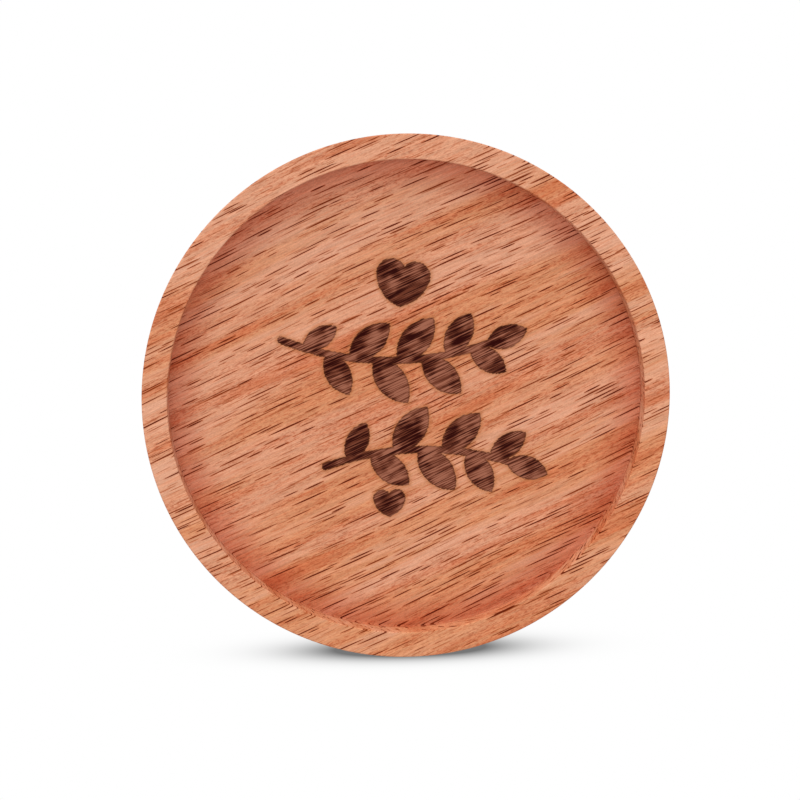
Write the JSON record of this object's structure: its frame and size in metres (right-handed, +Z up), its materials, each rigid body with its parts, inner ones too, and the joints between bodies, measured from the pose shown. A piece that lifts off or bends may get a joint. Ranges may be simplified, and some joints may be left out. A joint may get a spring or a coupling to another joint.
{
  "type": "drink coaster",
  "caption": "Round wooden drink coaster: a shallow tray with a raised rim and a well for a glass, burned hearts and leaf sprigs in the well, on rubber feet.",
  "frame": {"origin": "centre of the base, on the surface that the feet stand on", "axes": "+Z up through the middle of the tray, +Y towards the top of the burned ornament, +X to its right"},
  "size_m": [0.1, 0.1, 0.011],
  "materials": {
    "wood": "fine-sanded reddish hardwood with open pores, satin",
    "rubber": "matt black rubber",
    "adhesive": "translucent acrylic adhesive film"
  },
  "bodies": {
    "root": {"tray": "wood", "foot_front_right": "rubber", "foot_back_right": "rubber", "foot_back_left": "rubber", "foot_front_left": "rubber", "adhesive_front_right": "adhesive", "adhesive_back_right": "adhesive", "adhesive_back_left": "adhesive", "adhesive_front_left": "adhesive"}
  },
  "joints": []
}
